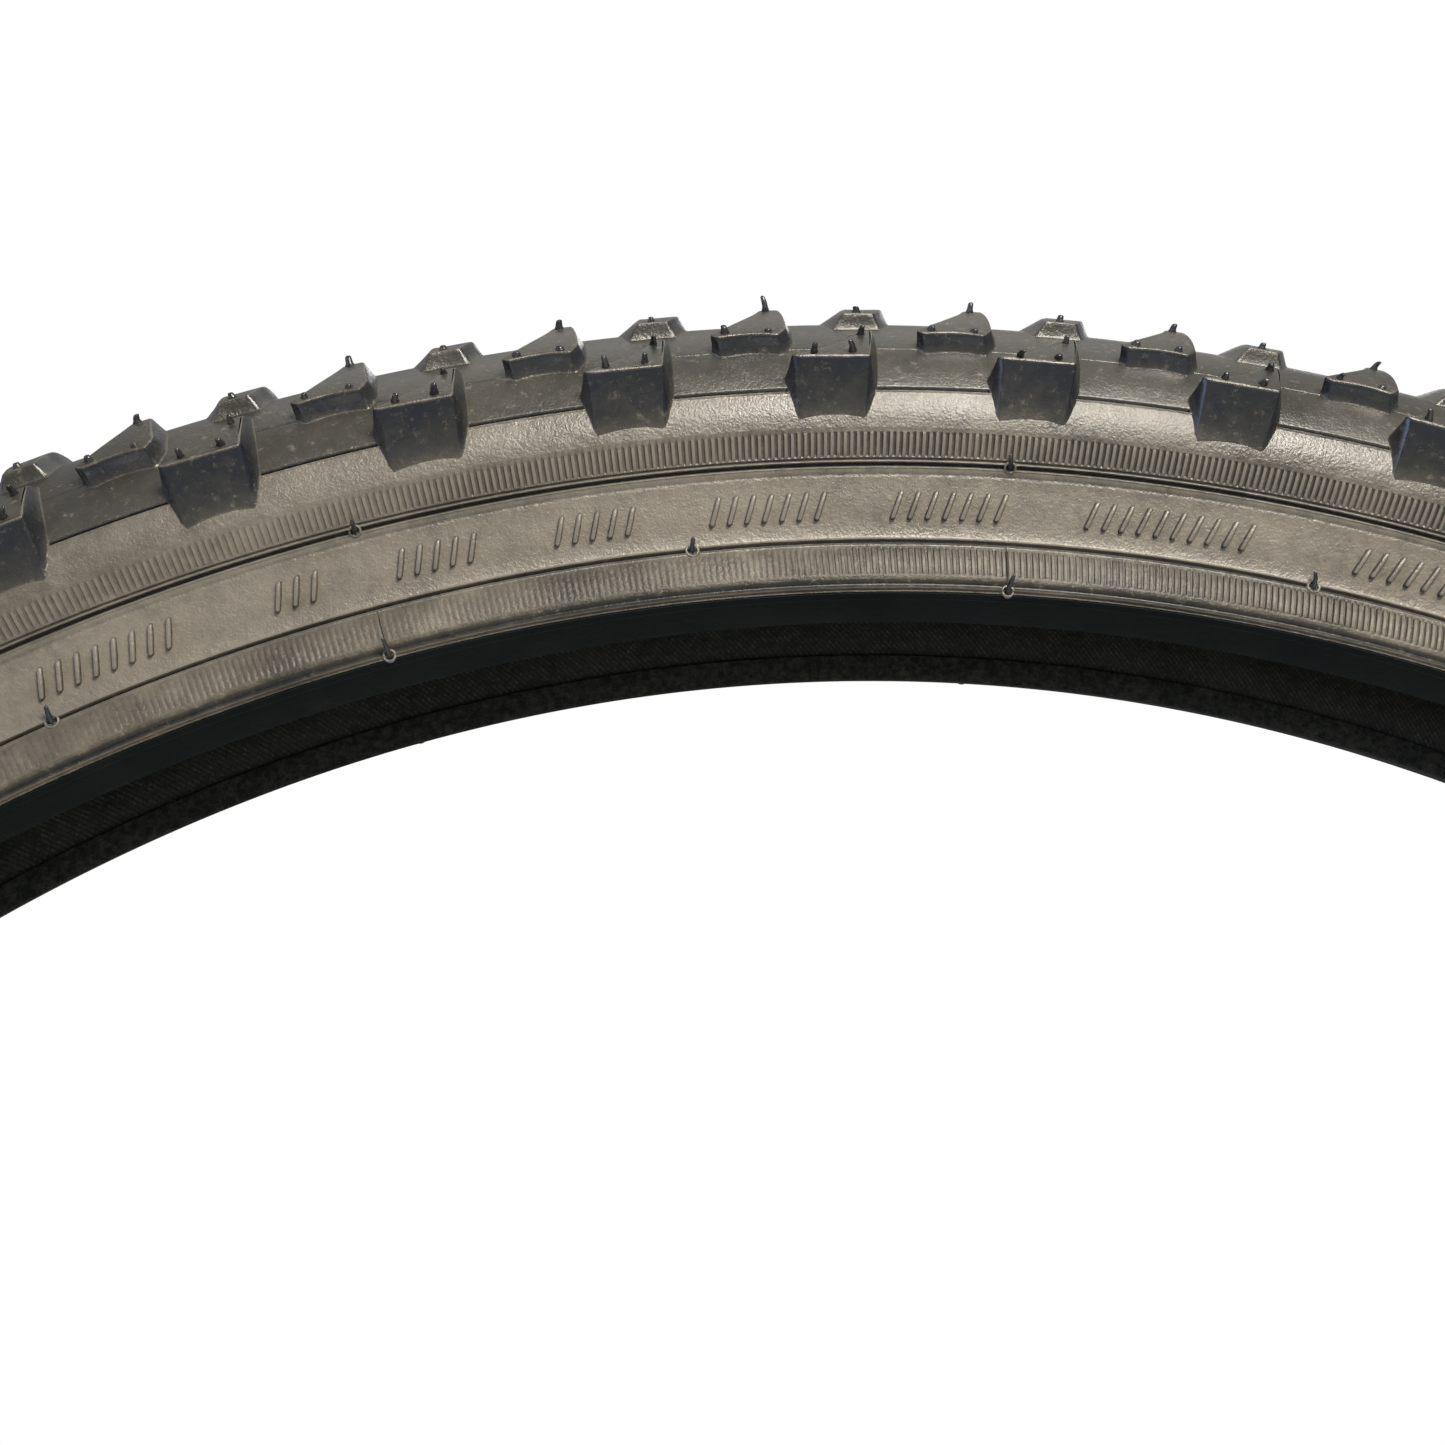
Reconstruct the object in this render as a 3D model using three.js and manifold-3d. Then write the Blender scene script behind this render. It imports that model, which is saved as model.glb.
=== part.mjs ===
// Knobby mountain-bike tire, 26 x 2.35 (60-559), wire bead, off its rim.
// Millimetres, +Z up, wheel centre at the origin, the wheel spins about +Y.
// The right half is at -Y and the left half at +Y. In a cross-section, "a" is the
// distance from the mid-plane and "R" the distance from the wheel's axis.
import * as THREE from 'three';
import { ConvexGeometry } from 'three/addons/geometries/ConvexGeometry.js';
import { mergeVertices } from 'three/addons/utils/BufferGeometryUtils.js';
import Module from 'manifold-3d';

const wasm = await Module();
wasm.setup();
const { Manifold, Mesh } = wasm;

// ---- driving dimensions ---------------------------------------------------
const SEGMENTS = 40;          // flats round every ring
const SEAT_R = 279.5;         // the toe of the bead: half of the 559 mm bead seat
const TOE_A = 12.7;           // toe of the bead, from the mid-plane
const HEEL_A = 19.5;          // outer face of the bead
const HEEL_R = 282.0;         // heel of the bead, where the mould line runs
const FLAT_TOP_R = 286.0;     // top of the flat rim contact face
const CROWN_R0 = 311.95;      // centre of the round crown section
const CROWN_r = 27.35;        // radius of the round crown section
const TREAD_EDGE = [26.4, 307.6];    // where tread rubber meets sidewall rubber
const UPPER_LINE = [22.8, 302.8];    // upper moulded line of the sidewall
const LOWER_LINE = [18.9, 291.2];    // lower moulded line of the sidewall

const GAP = 0.3;              // clearance between neighbouring layers
const TREAD_T = 1.9;          // tread rubber under the knobs, at the crown
const EDGE_T = 2.9;           // shoulder rubber, where tread and sidewall meet
const WALL_T = 1.1;           // sidewall rubber
const PLY_T = 0.6;            // one rubberised cord ply
const CORE_W = 2.0;           // wire bundle, across
const CREASES = [19, 50.5, 84];  // degrees off the top: the flats of the crown section

const PITCHES = 60;           // the knob pattern repeats this many times
const PITCH = 360 / PITCHES;
const PHASE = -2.1;           // degrees from the top to the nearest side knob
const KNOB_H = 3.0;           // height of the centre and transition knobs above the casing
const SIDE_H = 4.6;           // height of a side knob at its outer edge
const FIN_H = 2.6;            // height of a side knob at its inboard end
const ROOT = -1.8;            // how deep a knob's root is sunk in the tread rubber

const RUBBER = new THREE.MeshStandardMaterial({ name: 'tread_rubber', color: 0x2a2926, roughness: 0.6 });
const WALL = new THREE.MeshStandardMaterial({ name: 'sidewall_rubber', color: 0x55504a, roughness: 0.5 });
const CORD = new THREE.MeshStandardMaterial({ name: 'cord_fabric', color: 0x191c1b, roughness: 0.8 });
const STRIP = new THREE.MeshStandardMaterial({ name: 'rim_strip', color: 0x0f1314, roughness: 0.6 });
const STEEL = new THREE.MeshStandardMaterial({ name: 'bead_steel', color: 0xa09a8c, metalness: 1 });

const rad = THREE.MathUtils.degToRad;

// ---- cross-section helpers ------------------------------------------------
// A point of the crown section: alpha degrees off the top, raised by "up".
function crown(alpha, up = 0) {
  return [(CROWN_r + up) * Math.sin(rad(alpha)), CROWN_R0 + (CROWN_r + up) * Math.cos(rad(alpha))];
}

// Moves each vertex of an open polyline inwards, to the right of its direction
// of travel, by its own depth, keeping the flats parallel.
function inset(line, depths) {
  return line.map((p, i) => {
    const side = (u, v) => {
      const [da, dr] = [v[0] - u[0], v[1] - u[1]];
      const l = Math.hypot(da, dr);
      return [dr / l, -da / l];
    };
    const n0 = i > 0 ? side(line[i - 1], p) : side(p, line[i + 1]);
    const n1 = i < line.length - 1 ? side(p, line[i + 1]) : n0;
    const k = depths[i] / (1 + n0[0] * n1[0] + n0[1] * n1[1]);
    return [p[0] + k * (n0[0] + n1[0]), p[1] + k * (n0[1] + n1[1])];
  });
}

const mirrored = (line) => line.map(([a, r]) => [-a, r]).reverse();

// From one bead over the crown to the other, given the half from crown to bead.
const bothHalves = (half) => [...mirrored(half), ...(half[0][0] === 0 ? half.slice(1) : half)];

// Revolves a closed cross-section about the wheel's axis, facing out.
function ring(section) {
  let area = 0;
  section.forEach(([a, r], i) => {
    const [b, s] = section[(i + 1) % section.length];
    area += a * s - b * r;
  });
  const loop = area > 0 ? [...section].reverse() : [...section];
  const points = [...loop, loop[0]].map(([a, r]) => new THREE.Vector2(r, a));
  return new THREE.LatheGeometry(points, SEGMENTS);
}

function toSolid(geometry) {
  const bare = new THREE.BufferGeometry();
  bare.setAttribute('position', geometry.getAttribute('position'));
  bare.setIndex(geometry.getIndex());
  const merged = mergeVertices(bare, 1e-3);
  return new Manifold(new Mesh({
    numProp: 3,
    vertProperties: merged.attributes.position.array,
    triVerts: new Uint32Array(merged.index.array),
  }));
}

function toGeometry(solid) {
  const mesh = solid.getMesh();
  const geometry = new THREE.BufferGeometry();
  geometry.setAttribute('position', new THREE.BufferAttribute(mesh.vertProperties, mesh.numProp));
  geometry.setIndex(new THREE.BufferAttribute(mesh.triVerts, 1));
  geometry.computeVertexNormals();
  return geometry;
}

// ---- outer skin of the casing, from the crown to the heel -------------------
const CROWN_HALF = CREASES.map((alpha) => crown(alpha));
const TREAD_DEPTH = [TREAD_T, TREAD_T, 1.7];
// Tread and sidewall meet on a face that runs inwards from the skin.
const JOINT = [-0.97, 0.243];
const WALL_EDGE = [TREAD_EDGE[0] - GAP * JOINT[1], TREAD_EDGE[1] + GAP * JOINT[0]];
const underJoint = (p) => [p[0] + EDGE_T * JOINT[0], p[1] + EDGE_T * JOINT[1]];

// ---- knobs ------------------------------------------------------------------
// Three kinds of knob on each half. Every corner is [alpha, angle, up]: alpha down
// the section from the crown and angle round the wheel, in degrees, and the height.
// "profile" is the knob seen along the wheel; each flank is a plane by three corners.
const H = KNOB_H;
const knobs = [
  { // tall side knob, wrapping over the shoulder to a fin on its inboard side
    profile: [[97, -0.8], [79.5, SIDE_H], [57, FIN_H], [53, ROOT]],
    middle: 0,
    flanks: [
      [[96, -1.15, 0], [54, 0.75, 0], [79.5, -1.0, SIDE_H]],
      [[96, 1.05, 0], [55, 1.5, 0], [79.5, 1.1, SIDE_H]],
    ],
  },
  { // transition knob, wide outboard and narrow inboard
    profile: [[67.5, ROOT], [64, H], [39, H], [36, ROOT]],
    middle: 4,
    flanks: [
      [[66, 2.65, 0], [37, 4.25, 0], [64, 2.95, H]], [[66, 5.0, 0], [37, 5.15, 0], [64, 4.8, H]],
    ],
  },
  { // centre knob, narrow outboard and reaching just past the mid-plane
    profile: [[48, ROOT], [46.5, H], [20, H], [-7, H], [-10, ROOT]],
    middle: 1.2,
    flanks: [
      [[47, 0.4, 0], [-8, 0.2, 0], [46.5, 0.7, H]], [[47, 1.9, 0], [-8, 2.6, 0], [46.5, 1.6, H]],
    ],
  },
];

function onTread([alpha, angle, up], side, turn) {
  const [a, r] = crown(alpha, up);
  const t = rad(angle + turn);
  return new THREE.Vector3(r * Math.sin(t), side * a, r * Math.cos(t));
}

// The profile's corners, each carried along the wheel to both flanks.
function knob({ profile, middle, flanks }, side, turn) {
  const t = rad(middle + turn);
  const along = new THREE.Vector3(Math.cos(t), 0, -Math.sin(t));
  const points = flanks.flatMap((flank) => {
    const plane = new THREE.Plane().setFromCoplanarPoints(
      ...flank.map((c) => onTread(c, side, turn)),
    );
    return profile.map(([alpha, up]) => {
      const p = onTread([alpha, middle, up], side, turn);
      return p.addScaledVector(along, -plane.distanceToPoint(p) / plane.normal.dot(along));
    });
  });
  return toSolid(new ConvexGeometry(points));
}

// ---- tread: the band and all its knobs are one moulding ---------------------
function tread() {
  const outer = [...CROWN_HALF, TREAD_EDGE];
  const inner = [...inset(outer, [...TREAD_DEPTH, 1]).slice(0, -1), underJoint(TREAD_EDGE)];
  const [a, r] = inner[inner.length - 1];
  const full = ring([...bothHalves(outer), [a, r], [-a, r]]);
  const inside = ring([...bothHalves(inner), [a, r - 5], [-a, r - 5]]);
  const pieces = [toSolid(full)];
  for (let i = 0; i < PITCHES; i++) {
    for (const kind of knobs) {
      // the left half repeats the right half half a pitch further round
      pieces.push(knob(kind, -1, PHASE + i * PITCH));
      pieces.push(knob(kind, 1, PHASE + (i + 0.5) * PITCH));
    }
  }
  const moulding = Manifold.union(pieces).subtract(toSolid(inside));
  return toGeometry(moulding.asOriginal().simplify(0.02));
}

// ---- sidewalls ----------------------------------------------------------------
function sidewallSection() {
  const line = [WALL_EDGE, UPPER_LINE, LOWER_LINE, [HEEL_A, FLAT_TOP_R]];
  const inner = [underJoint(WALL_EDGE), ...inset(line, [1, WALL_T, 0.75, 0.9]).slice(1)];
  return [...line, [HEEL_A, HEEL_R + 0.35], [HEEL_A - 0.9, HEEL_R + 0.95], ...inner.reverse()];
}

// ---- casing plies ---------------------------------------------------------------
// The skin the plies follow, and the depth of the outer ply's outer face below it.
const SKIN = [...CROWN_HALF, UPPER_LINE, LOWER_LINE];
const PLY_DEPTH = [TREAD_T + GAP, TREAD_T + GAP, 2.0, WALL_T + GAP, 2.0];
const CORE_A = TOE_A + 3.7;            // middle of the wire bundle
const CORE_FOOT = HEEL_R + 1.0;        // underside of the wire bundle
const CORE_IN = CORE_A - CORE_W / 2;

function outerPlySection() {
  const outer = inset(SKIN, PLY_DEPTH);
  const inner = inset(SKIN, PLY_DEPTH.map((d) => d + PLY_T));
  const a1 = CORE_IN - GAP;
  const half = [...outer, [a1, 286.2], [a1, CORE_FOOT - 0.3]];
  const back = [...inner, [a1 - PLY_T, 286.0], [a1 - PLY_T, CORE_FOOT - 0.3]];
  return [...bothHalves(half), ...bothHalves(back).reverse()];
}

// The inner ply goes round the wire bundle and back up its outer side.
function innerPlySection() {
  const depth = PLY_DEPTH.map((d) => d + PLY_T + GAP);
  const outer = inset(SKIN, depth);
  const inner = inset(SKIN, depth.map((d) => d + PLY_T));
  const a1 = CORE_IN - 2 * GAP - PLY_T;      // outer face, inboard of the bundle
  const a2 = CORE_A + CORE_W / 2 + GAP;      // inner face, outboard of the bundle
  const foot = CORE_FOOT - 2 * GAP;          // face that passes under the bundle
  const half = [...outer, [a1, 285.8], [a1, foot], [a2, foot], [a2, 289.2]];
  const back = [
    ...inner, [a1 - PLY_T, 285.6], [a1 - PLY_T, foot - 0.4], [a1 - 0.3, foot - PLY_T],
    [a2 + 0.2, foot - PLY_T], [a2 + PLY_T, foot], [a2 + PLY_T, 289.2],
  ];
  return [...bothHalves(half), ...bothHalves(back).reverse()];
}

// ---- bead ----------------------------------------------------------------------
const coreSection = () => [
  [CORE_IN, CORE_FOOT], [CORE_IN + CORE_W, CORE_FOOT], [CORE_IN + CORE_W, CORE_FOOT + 3],
  [CORE_A, CORE_FOOT + 4.2], [CORE_IN, CORE_FOOT + 3],
];

function rimStripSection() {
  const a1 = CORE_IN - 3 * GAP - 2 * PLY_T;
  const foot = CORE_FOOT - 3 * GAP - PLY_T;
  const a2 = CORE_A + CORE_W / 2 + 2 * GAP + PLY_T;
  return [
    [TOE_A, SEAT_R], [HEEL_A, HEEL_R], [HEEL_A - 0.85, HEEL_R + 0.6],
    [a2 - 0.05, foot + 0.45], [a2 - 0.4, foot], [a1 + 0.15, foot], [a1, foot + 0.25],
    [a1, 284.6], [TOE_A, 284.3],
  ];
}

// ---- assembly ----------------------------------------------------------------
const part = new THREE.Group();
part.name = 'bicycle_tire';

function add(name, geometry, material) {
  const mesh = new THREE.Mesh(geometry, material);
  mesh.name = name;
  part.add(mesh);
}

add('tread', tread(), RUBBER);
add('casing_ply_outer', ring(outerPlySection()), CORD);
add('casing_ply_inner', ring(innerPlySection()), CORD);
for (const [half, place] of [['right', mirrored], ['left', (s) => s]]) {
  add(`sidewall_${half}`, ring(place(sidewallSection())), WALL);
  add(`bead_core_${half}`, ring(place(coreSection())), STEEL);
  add(`rim_strip_${half}`, ring(place(rimStripSection())), STRIP);
}

export default part;
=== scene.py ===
"""Looks of a knobby mountain-bike tire, 26 x 2.35 (60-559), off its rim.

Section sizes are in millimetres and angles in degrees, and each mesh is turned into
metres as it is made. In a cross-section, a is the distance from the mid-plane and R
the distance from the wheel's axis. s is the distance along the skin from the crown,
theta the angle round the wheel from the top, and up the height above the skin. The
right half of the tire is at -Y, where side is -1.
"""
import math

import bpy
import numpy as np
from mathutils import Matrix, Vector


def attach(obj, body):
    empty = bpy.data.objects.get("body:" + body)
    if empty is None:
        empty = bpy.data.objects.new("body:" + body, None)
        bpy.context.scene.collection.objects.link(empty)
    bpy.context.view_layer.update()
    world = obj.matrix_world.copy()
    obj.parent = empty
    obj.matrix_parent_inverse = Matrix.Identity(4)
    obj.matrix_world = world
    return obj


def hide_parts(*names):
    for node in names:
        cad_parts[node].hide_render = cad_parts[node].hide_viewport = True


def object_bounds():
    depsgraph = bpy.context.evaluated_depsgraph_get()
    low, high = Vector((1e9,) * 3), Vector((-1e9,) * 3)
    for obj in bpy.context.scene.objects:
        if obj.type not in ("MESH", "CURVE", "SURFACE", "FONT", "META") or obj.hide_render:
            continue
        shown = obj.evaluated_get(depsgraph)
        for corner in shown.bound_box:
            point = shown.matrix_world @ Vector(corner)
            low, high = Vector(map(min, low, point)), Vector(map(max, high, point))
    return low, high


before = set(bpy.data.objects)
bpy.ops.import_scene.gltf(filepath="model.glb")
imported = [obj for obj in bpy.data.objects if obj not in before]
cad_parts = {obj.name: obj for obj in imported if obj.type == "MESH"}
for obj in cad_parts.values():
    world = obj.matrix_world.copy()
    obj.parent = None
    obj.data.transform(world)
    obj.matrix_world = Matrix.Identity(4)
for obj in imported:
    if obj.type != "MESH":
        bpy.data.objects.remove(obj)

CAD_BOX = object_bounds()
MM = 0.001
HALVES = (("right", -1), ("left", 1))


# ---- camera -------------------------------------------------------------------
CAMERA_PLACE = (-0.04379, -0.25071, 0.17659)
CAMERA_LENS = 39.86             # mm, on a 36 mm sensor
CAMERA_RISE = 19.789            # degrees it looks up
CAMERA_HEADING = 3.476          # degrees it looks off the wheel's axis, towards +X
CAMERA_ROLL = 1.178             # degrees


def make_camera():
    data = bpy.data.cameras.new("camera")
    data.sensor_width = 36
    data.lens = CAMERA_LENS
    data.clip_start = 0.01
    data.clip_end = 50
    camera = bpy.data.objects.new("camera", data)
    bpy.context.scene.collection.objects.link(camera)
    turn = Matrix.Rotation(math.radians(-CAMERA_HEADING), 4, "Z")
    turn = turn @ Matrix.Rotation(math.radians(90 + CAMERA_RISE), 4, "X")
    turn = turn @ Matrix.Rotation(math.radians(-CAMERA_ROLL), 4, "Z")
    camera.matrix_world = Matrix.Translation(CAMERA_PLACE) @ turn
    bpy.context.scene.camera = camera


make_camera()

# ---- driving sizes, the same as the frame's -----------------------------------------
SEAT_R = 279.5                  # toe of the bead
TOE_A = 12.7
HEEL_A = 19.5                   # outer face of the bead
HEEL_R = 282.0
CROWN_R0 = 311.95               # centre of the round crown section
CROWN_r = 27.35                 # radius of the round crown section
CROWN_END = 84                  # degrees off the top where the round crown section ends
LOWER_SKIN = [                  # (a, R) of the skin below it, down to the heel
    (27.2, 314.81), (26.4, 307.9), (22.9, 302.9), (20.6, 297.2), (18.9, 291.2),
    (19.4, 288.4), (19.5, 286.6), (19.4, 284.6), (19.2, 282.35),
]

PITCHES = 60                    # the knob pattern repeats this many times
PITCH = 360 / PITCHES
PHASE = -2.1                    # from the top to the nearest side knob of the right half
RIBS = 1800                     # fine ribs round the sidewall, in each of its two bands
RIB_UP = 0.12                   # how far a rib stands above the skin
RIB_DOWN = 0.28                 # how deep the slot beside it is
# How strongly the ribs are moulded, as (theta, strength) round the wheel.
UPPER_STRENGTH = [(0, 1), (40, 1), (75, 0.6), (120, 1), (200, 0.9), (250, 0.5), (300, 0.9),
                  (326, 0.35), (342, 0.45), (352, 0.85), (360, 1)]
LOWER_STRENGTH = [(0, 0.6), (4, 0.8), (7, 0.4), (12, 0.9), (30, 1), (70, 0.5), (130, 0.9),
                  (210, 0.6), (280, 0.8), (320, 0.35), (334, 0.08), (340, 0.3), (343, 0.1),
                  (355, 0.12), (360, 0.6)]

# Places along the skin, as s.
PARTING = 40.2                  # mould parting line between the side knobs
FAINT_PARTING = 30.8            # faint one above it
BAND_EDGE = 47.0                # where the tread piece meets the sidewall piece
UPPER_RIBS = (47.8, 51.7)
UPPER_LINE = 52.1               # moulded double line
LOWER_LINE = 65.5
LOWER_RIBS = (66.7, 71.6)
HOLLOW = 73.2                   # soft groove above the heel
FLASH = 74.1                    # thin line of flash at the heel

MARK_S = 59.6                   # middle of the raised bars on the panel
MARK_LENGTH = 4.6
MARK_WIDTH = 0.9
MARK_SLANT = 0.35               # mm round the wheel for each mm up the bar
MARK_PITCH = 0.55               # degrees from bar to bar
BAR_MM_PER_DEGREE = 5.25        # mm round the wheel, at the bars
BAR_SIDES = 12                  # sides of a bar's outline
BAR_RINGS = [                   # (width, height) of its rings, from the foot up
    (1.45, -0.35), (1.2, 0.03), (0.95, 0.6), (0.5, 0.72),
]
BAR_TOP = 0.73
MARK_BLOCKS = [(-24.6, 8), (-18.8, 3), (-14.5, 5), (-9.6, 5), (-4.2, 7), (1.5, 7), (8.5, 10),
               (16.0, 6), (22.0, 8)]

LINE_PITCH = 20                 # vent pips repeat this often along the moulded lines
UPPER_PIP = 3.35
LOWER_PIP = -6.7
PANEL_PIP = -27.9


# ---- skin -----------------------------------------------------------------------
def smooth_line(points, steps):
    """A smooth curve through the points, which keeps the ends' directions."""
    p = np.asarray(points, float)
    gaps = np.linalg.norm(np.diff(p, axis=0), axis=1)
    slopes = np.diff(p, axis=0) / gaps[:, None]
    inner = (slopes[:-1] * gaps[1:, None] + slopes[1:] * gaps[:-1, None])
    inner /= (gaps[1:] + gaps[:-1])[:, None]
    tangents = np.vstack([slopes[:1], inner, slopes[-1:]])
    t = np.linspace(0, 1, steps, endpoint=False)[:, None]
    out = []
    for i, gap in enumerate(gaps):
        out.append(
            (2 * t**3 - 3 * t**2 + 1) * p[i] + (t**3 - 2 * t**2 + t) * gap * tangents[i]
            + (3 * t**2 - 2 * t**3) * p[i + 1] + (t**3 - t**2) * gap * tangents[i + 1]
        )
    return np.vstack([*out, p[-1:]])


def skin_table():
    """s, and the point and outward normal of the skin there."""
    alpha = np.radians(np.linspace(0, CROWN_END, 200))
    crown = np.column_stack([CROWN_r * np.sin(alpha), CROWN_R0 + CROWN_r * np.cos(alpha)])
    lower = smooth_line([crown[-8], *LOWER_SKIN], 30)
    points = np.vstack([crown[:-8], lower])
    s = np.r_[0, np.cumsum(np.linalg.norm(np.diff(points, axis=0), axis=1))]
    along = np.gradient(points, s, axis=0)
    along /= np.linalg.norm(along, axis=1)[:, None]
    return s, points, np.column_stack([-along[:, 1], along[:, 0]])


SKIN_S, SKIN_P, SKIN_N = skin_table()
SKIN_END = SKIN_S[-1]


def skin(s, up=0):
    """(a, R) of the skin at s, raised by up. Past the crown, s < 0 is the other half."""
    s = np.asarray(s, float)
    point = [np.interp(abs(s), SKIN_S, SKIN_P[:, i]) for i in (0, 1)]
    normal = [np.interp(abs(s), SKIN_S, SKIN_N[:, i]) for i in (0, 1)]
    sign = np.where(s < 0, -1.0, 1.0)
    return np.stack([sign * (point[0] + up * normal[0]), point[1] + up * normal[1]], -1)


def at(alpha, theta, up, side):
    """Points on the tire, alpha degrees of the crown's arc down from the crown."""
    a, r = np.moveaxis(skin(np.radians(alpha) * CROWN_r, up), -1, 0)
    t = np.radians(theta)
    return np.stack([r * np.sin(t), side * a, r * np.cos(t)], -1)


def bump(s, centre, width, height):
    return height * np.exp(-((s - centre) / width) ** 2)


def relief(s):
    """Height of the moulded lines that run right round the tire."""
    s = abs(np.asarray(s, float))
    return (
        - bump(s, FAINT_PARTING, 0.14, 0.12)
        - bump(s, PARTING, 0.22, 0.7) + bump(s, PARTING + 0.5, 0.2, 0.16)
        - bump(s, UPPER_LINE, 0.14, 0.4) + bump(s, UPPER_LINE + 0.38, 0.2, 0.2)
        - bump(s, UPPER_LINE + 0.85, 0.24, 0.8) + bump(s, UPPER_LINE + 1.3, 0.16, 0.16)
        - bump(s, UPPER_LINE + 2.4, 0.35, 0.1)
        + bump(s, LOWER_LINE - 0.38, 0.18, 0.2) - bump(s, LOWER_LINE, 0.2, 0.7)
        + bump(s, LOWER_LINE + 0.38, 0.18, 0.18)
        - bump(s, HOLLOW, 0.55, 0.4) + bump(s, FLASH, 0.14, 0.5)
    )


# ---- mesh making --------------------------------------------------------------------
def new_object(name, points, faces, node, slot, normals=None, film=None, sharp=None, look=None):
    """A mesh object that stands for a node. Points are in millimetres."""
    mesh = bpy.data.meshes.new(name)
    points = np.asarray(points, float)
    mesh.from_pydata((points * MM).tolist(), [], faces)
    mesh.update()
    mesh.shade_smooth()
    if film is not None:
        layer = mesh.attributes.new("film", "FLOAT", "POINT")
        layer.data.foreach_set("value", np.asarray(film, np.float32))
    if normals is not None:
        mesh.normals_split_custom_set_from_vertices(normals.tolist())
    elif sharp:
        mesh.set_sharp_from_angle(angle=math.radians(sharp))
    obj = bpy.data.objects.new(name, mesh)
    bpy.context.scene.collection.objects.link(obj)
    mesh.materials.append(MATERIALS[look or slot])
    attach(obj, "root")
    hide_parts(node)
    return obj


def area_normals(points, faces):
    """Vertex normals weighted by area, so broad faces stay flat beside their rounded edges."""
    normals = np.zeros_like(points)
    for size in (3, 4):
        f = np.array([q for q in faces if len(q) == size])
        if len(f):
            p = points[f]
            cross = np.cross(p[:, 2] - p[:, 0], p[:, -1] - p[:, 1])
            if size == 3:
                cross = np.cross(p[:, 1] - p[:, 0], p[:, 2] - p[:, 0])
            for k in range(size):
                np.add.at(normals, f[:, k], cross)
    return normals / np.maximum(np.linalg.norm(normals, axis=1), 1e-12)[:, None]


def ring_points(section, thetas, side):
    """The section's (a, R) points at each angle, in rows of one angle."""
    t = np.radians(np.asarray(thetas, float))[:, None]
    a, r = np.moveaxis(np.asarray(section, float), -1, 0)
    a = np.broadcast_to(a, (len(t), a.shape[-1]))
    return np.stack([r * np.sin(t), side * a, r * np.cos(t)], -1)


def ring_faces(columns, rows, flip):
    j = np.arange(columns)[:, None]
    i = np.arange(rows)[None]
    k, n = (j + 1) % columns, (i + 1) % rows
    quads = np.stack([j * rows + i, j * rows + n, k * rows + n, k * rows + i], -1)
    quads = quads.reshape(-1, 4)
    return (quads[:, ::-1] if flip else quads).tolist()


def tube_faces(rings, n):
    """Faces between rings of n points each, from the first ring to the last."""
    return [
        (k * n + j, k * n + (j + 1) % n, (k + 1) * n + (j + 1) % n, (k + 1) * n + j)
        for k in range(rings - 1) for j in range(n)
    ]


def facing_in(section, side):
    """True where the section runs round so that its ring would face inwards."""
    a, r = np.asarray(section, float).reshape(-1, 2).T
    area = np.sum(a * np.roll(r, -1) - np.roll(a, -1) * r)
    return (area > 0) == (side > 0)


def ring(name, section, side, node, slot, columns=480, sharp=40, film=None, look=None):
    """Revolves a closed (a, R) section about the wheel's axis. film has a value for each row."""
    thetas = np.arange(columns) * 360 / columns
    points = ring_points(section, thetas, side)
    faces = ring_faces(columns, len(section), facing_in(section, side))
    film = None if film is None else np.tile(film, columns)
    return new_object(
        name, points.reshape(-1, 3), faces, node, slot, sharp=sharp, film=film, look=look)


def rounded(corners, steps=4):
    """A closed outline from (a, R, radius) corners."""
    out = []
    for i, (a, r, radius) in enumerate(corners):
        p = np.array([a, r])
        if not radius:
            out.append(p)
            continue
        for_side = []
        for q in (corners[i - 1], corners[(i + 1) % len(corners)]):
            way = np.array(q[:2]) - p
            for_side.append(p + way / np.linalg.norm(way) * radius)
        for t in np.linspace(0, 1, steps):
            out.append((1 - t) ** 2 * for_side[0] + 2 * t * (1 - t) * p + t * t * for_side[1])
    return np.array(out)


def rows_between(start, end, step, features=()):
    """Places from start to end, closer together round each moulded line."""
    places = set(np.linspace(start, end, max(2, round((end - start) / step) + 1)).round(3))
    for middle, reach in features:
        places |= set(np.linspace(middle - reach, middle + reach, 15).round(3))
        places |= {round(middle - reach - 0.2, 3), round(middle + reach + 0.2, 3)}
    inside = sorted(p for p in places if start <= p <= end)
    kept = [inside[0]]
    for p in inside[1:]:
        if p - kept[-1] > 0.05:
            kept.append(p)
    kept[-1] = end
    return np.array(kept)


# How much film the skin keeps, as (s, film).
FILM_ALONG = [
    (0, 1), (PARTING, 1), (PARTING + 0.1, 2), (BAND_EDGE, 2.1), (UPPER_LINE + 1.5, 2.4),
    (57, 2.6), (LOWER_LINE - 0.6, 2.5), (LOWER_LINE + 0.6, 1.9), (71, 1.7), (72.6, 1.5),
    (73.6, 1.8), (FLASH, 1.9), (FLASH + 0.6, 1.1), (80, 0.8),
]


def film_and_painted_line_shading(s):
    """Mould film at s: 1 on the tread, 2 on the sidewall, thin at the heel, with painted shade that
    darkens the grooves and a painted highlight that lightens the raised lines.
    """
    film = np.interp(abs(s), *zip(*FILM_ALONG))
    # Grooves are darkened as painted shade and raised lines lightened as painted highlight.
    return np.clip(film + 3.5 * np.minimum(relief(s), 0) + 0.8 * np.maximum(relief(s), 0), 0, 3)


def shell_strip(start, end, step, features, depths):
    """Closed section, and its film with painted line shading, of a strip of skin as thick as depths
    at its ends.
    """
    s = rows_between(start, end, step, features)
    outer = skin(s, relief(s))
    back = np.linspace(end, start, max(2, len(s) // 3))
    depth = np.interp(back, (start, end), depths)
    return np.vstack([outer, skin(back, -depth)]), np.r_[film_and_painted_line_shading(s), np.full(len(back), 2)]


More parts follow.
